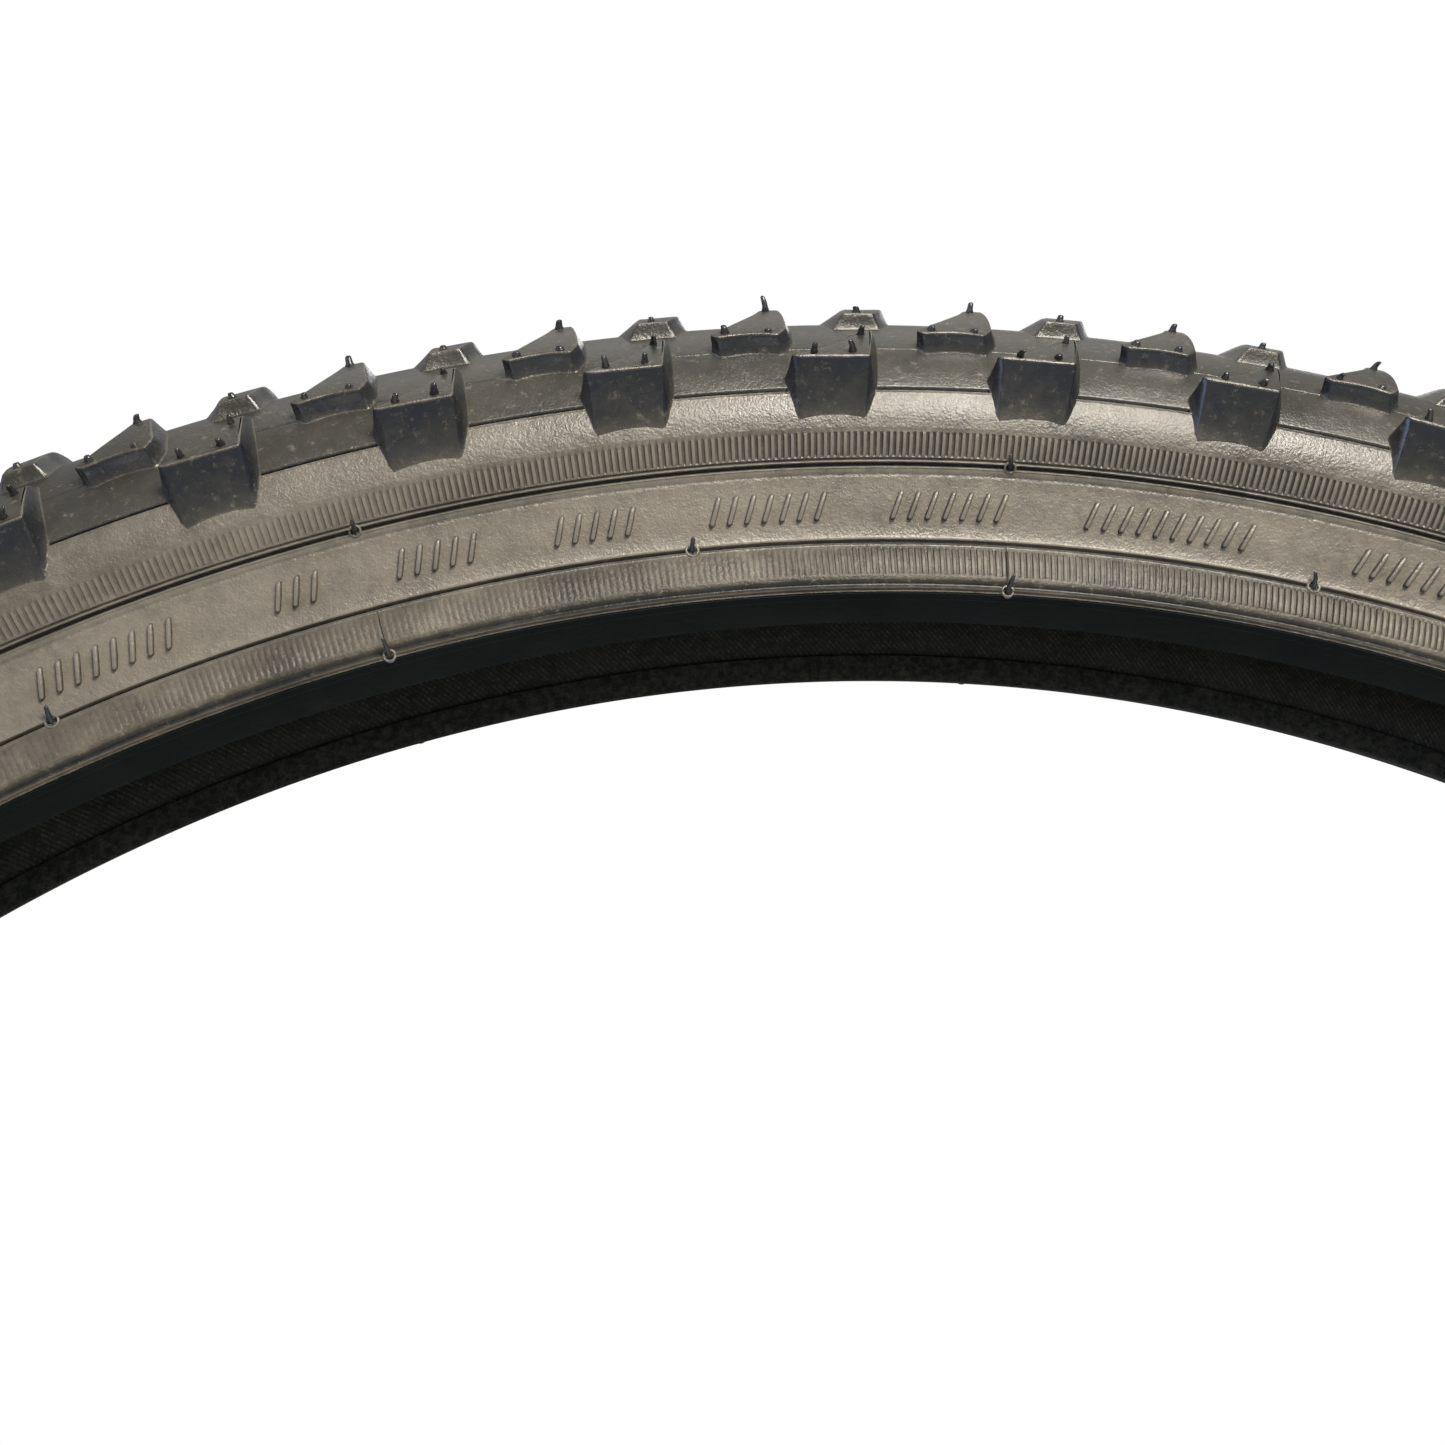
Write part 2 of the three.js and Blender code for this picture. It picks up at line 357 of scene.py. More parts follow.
# ---- materials -----------------------------------------------------------------------
class Nodes:
    """Short calls that add and join shader nodes."""

    def __init__(self, name):
        self.material = bpy.data.materials.new(name)
        self.material.use_nodes = True
        self.tree = self.material.node_tree
        self.shader = self.tree.nodes["Principled BSDF"]
        place = self.add("ShaderNodeTexCoord")
        self.object = place.outputs["Object"]

    def add(self, kind, **settings):
        node = self.tree.nodes.new(kind)
        for key, value in settings.items():
            setattr(node, key, value)
        return node

    def put(self, node, socket, value):
        target = node.inputs[socket]
        if isinstance(value, bpy.types.NodeSocket):
            self.tree.links.new(value, target)
        else:
            target.default_value = value

    def attribute(self, name):
        return self.add("ShaderNodeAttribute", attribute_name=name).outputs["Fac"]

    def noise(self, scale, detail=4.0, roughness=0.55, stretch=(1, 1, 1)):
        node = self.add("ShaderNodeTexNoise")
        mapping = self.add("ShaderNodeMapping")
        self.put(mapping, "Vector", self.object)
        self.put(mapping, "Scale", stretch)
        self.put(node, "Vector", mapping.outputs["Vector"])
        self.put(node, "Scale", scale)
        self.put(node, "Detail", detail)
        self.put(node, "Roughness", roughness)
        return node.outputs["Fac"]

    def math(self, operation, a, b=0.5):
        node = self.add("ShaderNodeMath", operation=operation)
        self.put(node, 0, a)
        self.put(node, 1, b)
        return node.outputs["Value"]

    def scaled(self, value, low, high, out_low=0.0, out_high=1.0):
        node = self.add("ShaderNodeMapRange")
        for socket, v in zip(
            ("Value", "From Min", "From Max", "To Min", "To Max"),
            (value, low, high, out_low, out_high),
        ):
            self.put(node, socket, v)
        return node.outputs["Result"]

    def blend(self, amount, one, other):
        node = self.add("ShaderNodeMix", data_type="RGBA")
        self.put(node, 0, amount)
        self.put(node, 6, one)
        self.put(node, 7, other)
        return node.outputs[2]

    def height(self, value, strength, distance, below=None):
        node = self.add("ShaderNodeBump")
        self.put(node, "Height", value)
        self.put(node, "Strength", strength)
        self.put(node, "Distance", distance)
        if below is not None:
            self.put(node, "Normal", below)
        return node.outputs["Normal"]

    def finish(self, colour, roughness, normal=None, specular=0.5):
        self.put(self.shader, "Base Color", colour)
        self.put(self.shader, "Roughness", roughness)
        self.put(self.shader, "Specular IOR Level", specular)
        if normal is not None:
            self.put(self.shader, "Normal", normal)
        return self.material


FILM = (0.048, 0.043, 0.033, 1)          # grey-brown bloom that the mould leaves
FILM_DARK = (0.025, 0.024, 0.019, 1)
PALE = (0.120, 0.105, 0.082, 1)          # thicker, on the sidewall
PALE_DARK = (0.050, 0.045, 0.036, 1)
# Pale bloom in streaks and specks; on rib ridges and bar tops it is also painted highlight.
PALE_SPOT_AND_HIGHLIGHT = (0.230, 0.205, 0.162, 1)
BARE = (0.006, 0.008, 0.015, 1)          # clean black rubber, made darker still as painted shade on the knob walls that face down
BARE_GREEN = (0.011, 0.013, 0.013, 1)


def film_rubber(name, grain, shine=0.8):
    """Black rubber under a blotchy film: the film attribute is 0 where it is bare. Its values also
    carry painted highlights on edges, ridges and raised lines, and painted shade in grooves, slots
    and on walls that face down.
    """
    n = Nodes(name)
    blotch = n.scaled(n.noise(45, 5, 0.65), 0.38, 0.62)
    wide = n.scaled(n.noise(14, 4, 0.55), 0.36, 0.64)
    streak = n.scaled(n.noise(150, 5, 0.7, (0.3, 1, 0.3)), 0.52, 0.68)
    speck = n.scaled(n.noise(700, 4, 0.75), 0.58, 0.70)
    thin = n.blend(blotch, FILM_DARK, FILM)
    patchy = n.scaled(n.math("ADD", blotch, wide), 0.45, 1.55)
    pale = n.blend(patchy, PALE_DARK, PALE)
    pale = n.blend(n.math("MULTIPLY", streak, 0.45), pale, PALE_SPOT_AND_HIGHLIGHT)
    bare = n.blend(n.scaled(n.noise(160, 4), 0.35, 0.7), BARE, BARE_GREEN)
    wear = n.scaled(n.noise(420, 5, 0.75), 0.3, 0.7, -0.3, 0.3)
    film = n.math("ADD", n.attribute("film"), wear)
    colour = n.blend(n.scaled(film, 0.05, 0.95), bare, thin)
    colour = n.blend(n.scaled(film, 1.1, 1.8), colour, pale)
    # Film above 2 turns pale: thick bloom on the sidewall, and painted highlight on rib ridges and
    # bar tops.
    colour = n.blend(n.math("MULTIPLY", n.scaled(film, 2.0, 2.7), 0.7), colour, PALE_SPOT_AND_HIGHLIGHT)
    colour = n.blend(n.math("MULTIPLY", speck, n.scaled(film, 0, 1, 0.2, 0.5)), colour, PALE_SPOT_AND_HIGHLIGHT)
    rough = n.scaled(film, 0, 1.2, 0.25, 0.37)
    rough = n.math("ADD", rough, n.scaled(n.noise(90, 4), 0.3, 0.7, -0.06, 0.06))
    amount = n.scaled(film, 0, 1.5, 0.15, 1)
    fine = n.height(n.math("MULTIPLY", n.noise(2600, 3, 0.6), amount), grain, 0.00012)
    pebble = n.height(n.math("MULTIPLY", n.noise(1300, 3, 0.6), amount), 0.42, 0.00025, fine)
    normal = n.height(n.math("MULTIPLY", n.noise(260, 4, 0.6), amount), 0.09, 0.0004, pebble)
    return n.finish(colour, rough, normal, shine)


def strip_rubber():
    """Smooth near-black rubber, darkened further as painted shade, with the print of the fabric on
    its inner face.
    """
    n = Nodes("rim_strip_rubber")
    # This near-black is darker than the rubber is, as painted shade on the strip's downward-facing
    # underside.
    colour = n.blend(n.scaled(n.noise(60, 5, 0.65), 0.3, 0.7), (0.002, 0.004, 0.004, 1),
                     (0.005, 0.009, 0.009, 1))
    scuff = n.scaled(n.noise(240, 5, 0.7, (0.3, 1, 0.3)), 0.6, 0.78)
    colour = n.blend(n.math("MULTIPLY", scuff, 0.2), colour, (0.04, 0.045, 0.042, 1))
    print_ = n.scaled(n.noise(900, 4, 0.7), 0.4, 0.65)
    cloth = n.blend(print_, (0.017, 0.021, 0.019, 1), (0.060, 0.061, 0.052, 1))
    colour = n.blend(n.attribute("film"), colour, cloth)
    rough = n.scaled(n.noise(80, 4), 0.3, 0.7, 0.5, 0.65)
    normal = n.height(n.noise(900, 4, 0.65), 0.45, 0.0003)
    return n.finish(colour, rough, normal, 0.12)


def cord_fabric():
    """Rubberised cords laid on the bias; the weave attribute counts cords across the ply."""
    n = Nodes("cord_fabric")
    cords = n.math("PINGPONG", n.attribute("weave"), 0.5)
    cords = n.scaled(cords, 0.0, 0.5)
    cross = n.scaled(n.math("PINGPONG", n.attribute("weave_across"), 0.5), 0.0, 0.5)
    thread = n.math("MULTIPLY", cords, n.scaled(cross, 0, 1, 0.35, 1))
    thread = n.math("MULTIPLY", thread, n.scaled(n.noise(650, 4, 0.7), 0.38, 0.62))
    mottle = n.scaled(n.noise(70, 5, 0.65), 0.3, 0.7)
    colour = n.blend(mottle, (0.027, 0.031, 0.028, 1), (0.058, 0.060, 0.052, 1))
    colour = n.blend(n.math("MULTIPLY", thread, 0.7), colour, (0.175, 0.170, 0.145, 1))
    rough = n.scaled(thread, 0, 1, 0.72, 0.55)
    fine = n.height(n.noise(1500, 3, 0.6), 0.25, 0.0002)
    normal = n.height(thread, 0.6, 0.0003, fine)
    return n.finish(colour, rough, normal, 0.3)


def bead_steel():
    n = Nodes("bead_steel")
    colour = n.blend(n.noise(300, 3), (0.50, 0.44, 0.34, 1), (0.66, 0.62, 0.54, 1))
    n.shader.inputs["Metallic"].default_value = 1
    rough = n.scaled(n.noise(900, 2, 0.5, (1, 8, 1)), 0.3, 0.7, 0.28, 0.42)
    return n.finish(colour, rough, n.height(n.noise(1200, 2), 0.15, 0.0001))


MATERIALS = {
    "tread_rubber": film_rubber("tread_rubber", 0.3),
    "sidewall_rubber": film_rubber("sidewall_rubber", 0.35),
    "heel_rubber": film_rubber("heel_rubber", 0.35, 0.3),
    "rim_strip_rubber": strip_rubber(),
    "cord_fabric": cord_fabric(),
    "bead_steel": bead_steel(),
}


# ---- tread band -----------------------------------------------------------------------
def tread_band():
    half = rows_between(0, BAND_EDGE, 1.6, [(PARTING + 0.1, 0.9), (FAINT_PARTING + 0.1, 0.5)])
    s = np.r_[-half[:0:-1], half]
    back = np.linspace(BAND_EDGE, -BAND_EDGE, 45)
    depth = np.interp(abs(back), (0, 38, BAND_EDGE), (1.9, 1.9, 1.2))
    section = np.vstack([skin(s, relief(s)), skin(back, -depth)])
    film = np.r_[film_and_painted_line_shading(s), np.full(len(back), 2)]
    ring("tread_band", section, 1, "tread", "tread_rubber", film=film)


# ---- knobs -------------------------------------------------------------------------------
# Each knob is a ring of upright walls round its upper face, in four sides: the front one
# faces outboard, then come right, back and left. A side is one or two walls, each with
# its foot on the skin and its top edge, as (alpha, theta) points, then the film value at
# its foot and at its top, and its number of steps. The walls are bare black rubber, and their
# low values, lowest on walls that face outboard and down, are also painted shade. Front and back
# have as many steps in all, and so have left and right. "heights" are the heights of the front
# and the back of the upper face.
KNOBS = {
    "side": {
        "front": [
            ([(79, -1.36), (87, -1.2), (95, -1.08)], [(77.3, -1.18), (78.4, -1.02)],
             (0.2, 0.05), 2),
            ([(95, -1.08), (93.8, -0.4), (93.5, 0.1), (95, 0.98)],
             [(78.4, -1.02), (78.7, 0.05), (78.8, 1.08)], (0.75, -0.1), 6),
        ],
        "right": [
            ([(95, 0.98), (84, 1.34)], [(78.8, 1.08), (77.8, 1.12)], (0.1, 0.0), 3),
            ([(84, 1.34), (70, 1.46), (54.5, 1.5)], [(77.8, 1.12), (69, 1.26), (60.5, 1.36)],
             (0.15, 0.0), 9),
        ],
        "back": [([(54.5, 1.5), (53.8, 1.2), (54.5, 0.85)], [(60.5, 1.36), (60.5, 1.03)],
                  (0.9, 0.9), 8)],
        "left": [([(54.5, 0.85), (62, 0.5), (70, -0.2), (75, -0.9), (79, -1.36)],
                  [(60.5, 1.03), (64, 0.84), (69.5, 0.45), (73.5, -0.15), (76.0, -0.75),
                   (77.3, -1.18)], (0.8, 0.6), 12)],
        "heights": (4.6, 2.3),
        "pips": [((76.4, -0.5), 1.5), ((76.2, 0.62), 1.7), ((64.5, 1.0), 1.6)],
    },
    "transition": {
        "front": [
            ([(63.5, 2.7), (67.3, 2.9)], [(62.0, 2.64), (63.9, 2.84)], (0.2, 0.0), 2),
            ([(67.3, 2.9), (66.2, 3.4), (65.8, 3.85), (66.2, 4.3), (67.4, 4.72)],
             [(63.9, 2.84), (63.1, 3.4), (62.8, 3.8), (63.1, 4.2), (64.0, 4.6)], (0.15, -0.05), 6),
        ],
        "right": [
            ([(67.4, 4.72), (61.5, 5.04)], [(64.0, 4.6), (60.4, 4.88)], (0.25, 0.05), 2),
            ([(61.5, 5.04), (50, 5.12), (37, 5.1)], [(60.4, 4.88), (50, 4.9), (39, 4.88)],
             (0.25, 0.05), 8),
        ],
        "back": [([(37, 5.1), (36.6, 4.6), (37, 4.1)], [(39, 4.88), (39, 4.32)], (0.8, 0.8), 8)],
        "left": [([(37, 4.1), (46, 3.75), (54, 3.2), (60, 2.8), (63.5, 2.7)],
                  [(39, 4.32), (46, 4.1), (53, 3.6), (58.5, 3.05), (62.0, 2.64)],
                  (0.9, 0.7), 10)],
        "heights": (2.9, 2.8),
        "pips": [((61.3, 3.1), 0.9), ((61.5, 4.35), 0.8), ((41, 4.5), 2.2)],
    },
    "centre": {
        "front": [([(47.2, 0.4), (46.6, 1.1), (47.2, 1.8)],
                   [(44.9, 0.72), (44.6, 1.15), (44.9, 1.6)], (1.0, 1.0), 6)],
        "right": [([(47.2, 1.8), (36, 2.15), (22, 2.28), (5, 2.4), (-8, 2.4)],
                   [(44.9, 1.6), (35, 1.95), (20, 2.1), (5, 2.22), (-6, 2.2)], (0.35, 0.1), 12)],
        "back": [([(-8, 2.4), (-9, 1.35), (-8, 0.3)], [(-6, 2.2), (-6.6, 1.45), (-6, 0.8)],
                  (0.7, 0.6), 6)],
        "left": [([(-8, 0.3), (5, 0.1), (20, 0.15), (34, 0.25), (47.2, 0.4)],
                  [(-6, 0.8), (5, 0.75), (20, 0.85), (34, 0.85), (44.9, 0.72)],
                  (1.0, 0.9), 12)],
        "heights": (2.5, 2.8),
        "pips": [((42.5, 1.15), 0.8), ((8, 1.45), 0.8)],
    },
}
SIDES = ("front", "right", "back", "left")
EDGE_ROUND = 0.35               # radius of a knob's upper edges
CORNER_ROUND = 0.4              # radius of its upright corners
FOOT = 0.45                     # size of the fillet at its foot
SUNK = 0.35                     # how deep the fillet's edge is sunk in the band


MM_PER_DEGREE = np.array([CROWN_r * math.pi / 180, 5.8])    # of alpha and of theta


def along(points, t):
    """Points at fractions t of the smooth line through the points."""
    line = smooth_line(points, 12) if len(points) > 2 else np.asarray(points, float)
    mm = line * MM_PER_DEGREE
    d = np.r_[0, np.cumsum(np.linalg.norm(np.diff(mm, axis=0), axis=1))]
    d /= d[-1]
    return np.column_stack([np.interp(t, d, line[:, i]) for i in (0, 1)])


def edge_steps(count, length):
    """Fractions along an edge: one step of a corner's radius at each end, even between."""
    end = min(CORNER_ROUND / length, 0.8 / count)
    return np.r_[0, np.linspace(end, 1 - end, count - 1), 1]


def pattern_shift(side):
    """Degrees to the first pitch of a half; the left half's knobs sit between the right's."""
    return PHASE + (0 if side < 0 else PITCH / 2)


def face_height(kind, alpha):
    """Height of a knob's upper face at alpha, sloped from its front to its back."""
    near, far = kind["front"][-1][1][0][0], kind["back"][0][1][0][0]
    return np.interp((near - alpha) / (near - far), (0, 1), kind["heights"])


def outline(kind, level):
    """(alpha, theta) round a knob's feet (level 0) or upper edges (1), corners blunted."""
    points, corner = [], []
    for wall in (w for side in SIDES for w in kind[side]):
        line = wall[level]
        ends = np.array([wall[1][0], wall[1][-1]]) * MM_PER_DEGREE
        t = edge_steps(wall[3], np.linalg.norm(ends[1] - ends[0]))[:-1]
        points.append(along(line, t))
        corner += [k == 0 for k in range(len(t))]
    points = np.vstack(points)
    blunt = (np.roll(points, 1, 0) + 2 * points + np.roll(points, -1, 0)) / 4
    return np.where(np.array(corner)[:, None], blunt, points)


def unit(vectors):
    return vectors / np.maximum(np.linalg.norm(vectors, axis=1), 1e-9)[:, None]


def knob_mesh(kind, side):
    """One knob's points, faces and film."""
    base, top = outline(kind, 0), outline(kind, 1)
    walls = [w for name in SIDES for w in kind[name]]
    # Film at each wall's foot and top: bare rubber, kept lowest as painted shade on walls that face
    # outboard and down.
    low, high = (np.concatenate([np.full(w[3], w[2][k]) for w in walls]) for k in (0, 1))
    height = face_height(kind, top[:, 0])
    foot = at(base[:, 0], base[:, 1], 0, side)
    tilt = unit(at(base[:, 0], base[:, 1], 1, side) - foot)
    lip = at(top[:, 0], top[:, 1], height, side)
    ups = at(top[:, 0], top[:, 1], height + 1, side) - lip
    length = np.linalg.norm(foot - lip, axis=1)[:, None]
    down = (foot - lip) / length
    inward = unit(np.cross(ups, np.roll(lip, -1, 0) - np.roll(lip, 1, 0)))
    if np.sum(inward * (lip.mean(0) - lip)) < 0:
        inward = -inward
    out = unit(tilt * np.sum(inward * tilt, 1)[:, None] - inward)
    loops = [
        # Film 1.5 on the fillet at the foot is a painted highlight along the knob's base.
        (foot + out * FOOT - tilt * SUNK, np.full_like(low, 1.5)),
        (foot + out * FOOT * 0.45 + tilt * 0.02, np.full_like(low, 1.45)),
        (foot - down * FOOT * 0.55 + out * 0.04, 0.5 + 0.6 * low),
        (foot - down * np.minimum(length * 0.45, 2.2), 0.65 * low + 0.35 * high),
        (lip + down * np.maximum(EDGE_ROUND * 2.2, length * 0.25), 0.2 * low + 0.8 * high),
        (lip + down * EDGE_ROUND, high),
        (lip + (down + inward) * EDGE_ROUND * 0.29, np.full_like(low, 1.7)),
        # Film 1.7 on the rounded upper edge is a painted highlight along the knob's top edges.
        (lip + inward * EDGE_ROUND, np.full_like(low, 1.15)),
    ]
    m = len(foot)
    points = np.vstack([loop for loop, _ in loops])
    faces = tube_faces(len(loops), m)
    counts = {name: sum(w[3] for w in kind[name]) for name in SIDES}
    cap, cap_faces = cap_grid(loops[-1][0], counts, (len(loops) - 1) * m, len(points))
    sole = (loops[0][0].mean(0) - tilt.mean(0) * 0.9)[None]
    film = np.concatenate([f for _, f in loops] + [np.ones(len(cap) + 1)])
    points = np.vstack([points, cap, sole])
    faces += cap_faces
    faces += [((j + 1) % m, j, len(points) - 1) for j in range(m)]
    if side > 0:
        faces = [f[::-1] for f in faces]
    return points, faces, film


def cap_grid(border, counts, first, free):
    """Fills the loop with a grid: its inner points, numbered from free, and all its faces."""
    u_count, v_count = counts["front"], counts["right"]
    m = len(border)
    corner = [0, u_count, u_count + v_count, 2 * u_count + v_count]
    front = border[corner[0]:corner[1] + 1]
    right = border[corner[1]:corner[2] + 1]
    back = border[corner[2]:corner[3] + 1][::-1]
    left = np.vstack([border[corner[3]:], border[:1]])[::-1]
    u = np.linspace(0, 1, u_count + 1)[1:-1, None, None]
    v = np.linspace(0, 1, v_count + 1)[None, 1:-1, None]
    grid = (
        (1 - v) * front[1:-1, None] + v * back[1:-1, None]
        + (1 - u) * left[None, 1:-1] + u * right[None, 1:-1]
        - (1 - u) * (1 - v) * front[0] - u * (1 - v) * front[-1]
        - (1 - u) * v * back[0] - u * v * back[-1]
    )

    def number(i, j):
        if j == 0:
            return first + i
        if i == u_count:
            return first + u_count + j
        if j == v_count:
            return first + u_count + v_count + (u_count - i)
        if i == 0:
            return first + (2 * u_count + v_count + (v_count - j)) % m
        return free + (i - 1) * (v_count - 1) + (j - 1)

    faces = [
        (number(i, j), number(i + 1, j), number(i + 1, j + 1), number(i, j + 1))
        for i in range(u_count) for j in range(v_count)
    ]
    return grid.reshape(-1, 3), faces


def joined(parts):
    """Joins (points, faces, film) parts into one."""
    points, faces, film, start = [], [], [], 0
    for p, f, m in parts:
        points.append(p)
        faces += [tuple(i + start for i in face) for face in f]
        film.append(m)
        start += len(p)
    return np.vstack(points), faces, np.concatenate(film)


def turned(points, theta):
    """Points turned round the wheel's axis by theta."""
    c, s = math.cos(math.radians(theta)), math.sin(math.radians(theta))
    x, y, z = points.T
    return np.column_stack([x * c + z * s, y, z * c - x * s])


def knob_row(name, kind, half, side):
    """All knobs of one kind on one half of the tire."""
    shift = pattern_shift(side)
    points, faces, film = knob_mesh(kind, side)
    normals = area_normals(points, faces)
    count = len(points)
    all_points, all_normals, all_faces = [], [], []
    for i in range(PITCHES):
        all_points.append(turned(points, shift + i * PITCH))
        all_normals.append(turned(normals, shift + i * PITCH))
        all_faces += [tuple(v + i * count for v in face) for face in faces]
    new_object(
        f"{name}_knobs_{half}", np.vstack(all_points), all_faces, "tread", "tread_rubber",
        normals=np.vstack(all_normals), film=np.tile(film, PITCHES),
    )


# ---- vent pips ---------------------------------------------------------------------------
PIP_SIDES = 7
BOSS_SIDES = 18


def pip(foot, way, lean, length, width):
    """A little rubber spike left by a vent: a tapered stalk that bends towards lean."""
    way = way / np.linalg.norm(way)
    lean = lean - way * (lean @ way)
    size = np.linalg.norm(lean)
    lean = lean / size if size > 1e-9 else lean
    across = np.cross(way, lean)
    stations = [(-0.4, 1.3), (0.1, 1.2), (0.28, 0.95), (0.62, 0.88), (0.92, 0.76), (1.0, 0.42)]
    angles = np.arange(PIP_SIDES) * 2 * math.pi / PIP_SIDES
    points = []
    for t, r in stations:
        reach = t * length if t > 0 else t
        bend = 0.5 * size * length * max(t, 0) ** 2
        middle = foot + way * reach + lean * bend
        for angle in angles:
            spoke = lean * math.cos(angle) + across * math.sin(angle)
            points.append(middle + spoke * r * width / 2)
    points += [foot - way * 0.5, foot + way * length * 1.04 + lean * 0.5 * size * length]
    n = PIP_SIDES
    faces = tube_faces(len(stations), n)
    end = (len(stations) - 1) * n
    faces += [((j + 1) % n, j, len(points) - 2) for j in range(n)]
    faces += [(end + j, end + (j + 1) % n, len(points) - 1) for j in range(n)]
    return np.array(points), faces, np.full(len(points), 0.3)


def boss(foot, way, ahead, radius):
    """The low round collar at the foot of a pip on a moulded line."""
    way = way / np.linalg.norm(way)
    side_way = np.cross(way, ahead)
    rings = [(radius, -0.4), (radius, 0.12), (radius * 0.8, 0.34), (radius * 0.55, 0.08)]
    n = BOSS_SIDES
    angles = np.arange(n) * 2 * math.pi / n
    points = []
    for r, up in rings:
        for angle in angles:
            spoke = ahead * math.cos(angle) + side_way * math.sin(angle)
            points.append(foot + way * up + spoke * r)
    points += [foot + way * 0.05, foot - way * 0.5]
    faces = tube_faces(len(rings), n)
    end = (len(rings) - 1) * n
    faces += [(end + j, end + (j + 1) % n, len(points) - 2) for j in range(n)]
    faces += [((j + 1) % n, j, len(points) - 1) for j in range(n)]
    return np.array(points), faces, np.r_[np.full(3 * n, 2.4), np.full(n, 0.2), 0, 1]


def knob_pips(side, draw):
    """The pips on the knobs of one half, each with its own length and lean."""
    parts = []
    shift = pattern_shift(side)
    for kind in KNOBS.values():
        for (alpha, theta), length in kind["pips"]:
            up = face_height(kind, alpha)
            for i in range(PITCHES):
                turn = shift + i * PITCH + theta
                foot = at(alpha, turn, up, side)
                way = at(alpha, turn, up + 1, side) - foot
                lean = draw.normal(0, 0.35, 3)
                size = max(0.4, length * draw.uniform(0.55, 1.3))
                parts.append(pip(foot, way, lean, size, draw.uniform(1.0, 1.35)))
    return parts


def line_pips(side, draw):
    """The pips and their collars on one sidewall."""
    parts = []
    # s, the first one's theta, pitch, radius of the collar, and shortest and longest pip
    lines = [
        (UPPER_LINE + 0.85, UPPER_PIP, LINE_PITCH, 1.05, (1.6, 2.4)),
        (LOWER_LINE, LOWER_PIP, LINE_PITCH, 1.2, (1.5, 3.0)),
        (FLASH, UPPER_PIP, LINE_PITCH, 1.1, (2.4, 3.2)),
        (UPPER_LINE + 5.4, PANEL_PIP, 3 * LINE_PITCH, 0.0, (1.4, 1.9)),
    ]
    for s, first, pitch, radius, lengths in lines:
        alpha = math.degrees(s / CROWN_r)
        for i in range(round(360 / pitch)):
            theta = first + i * pitch
            foot = at(alpha, theta, 0.0, side)
            way = at(alpha, theta, 1.0, side) - foot
            ahead = at(alpha, theta + 0.1, 0.0, side) - foot
            ahead /= np.linalg.norm(ahead)
            upward = at(alpha - 1, theta, 0.0, side) - foot
            upward /= np.linalg.norm(upward)
            way = way + upward * draw.uniform(0.3, 0.9)
            lean = ahead * draw.uniform(-0.7, 0.7) + upward * draw.uniform(0.4, 1.2)
            if radius:
                parts.append(boss(foot, at(alpha, theta, 1.0, side) - foot, ahead, radius))
            parts.append(pip(foot, way, lean, draw.uniform(*lengths), draw.uniform(0.75, 0.9)))
            if s == FLASH:
                parts.append(flash_fin(theta, side))
    return parts


FIN_STEPS = 12


def flash_fin(theta, side):
    """The hair of rubber that runs from a heel pip up to the line above it."""
    n = FIN_STEPS
    s = np.linspace(FLASH - 0.9, LOWER_LINE + 0.5, n)
    up = 0.3 * np.sin(np.linspace(0.25, 1, n) * math.pi) + 0.02
    alpha = np.degrees(s / CROWN_r)
    points = np.vstack([
        at(alpha, theta + turn, rise, side)
        for turn, rise in ((-0.025, -0.45), (-0.018, up), (0.018, up), (0.025, -0.45))
    ])
    faces = [
        (k * n + j, k * n + j + 1, (k + 1) % 4 * n + j + 1, (k + 1) % 4 * n + j)
        for k in range(4) for j in range(n - 1)
    ]
    faces += [(0, n, 2 * n, 3 * n), (4 * n - 1, 3 * n - 1, 2 * n - 1, n - 1)]
    if side > 0:
        faces = [f[::-1] for f in faces]
    return points, faces, np.full(4 * n, 1.5)


def vent_pips(half, side, draw):
    for name, node, slot, parts in (
        ("knob", "tread", "tread_rubber", knob_pips(side, draw)),
        ("sidewall", f"sidewall_{half}", "sidewall_rubber", line_pips(side, draw)),
    ):
        points, faces, film = joined(parts)
        new_object(f"{name}_vent_pips_{half}", points, faces, node, slot, film=film,
                   normals=area_normals(points, faces))


# ---- sidewalls ------------------------------------------------------------------------------
RIDGE = 0.44                    # where a ridge's flat top ends, as a share of the pitch
SLOT_MIDDLE = 0.74              # middle of the slot beside it


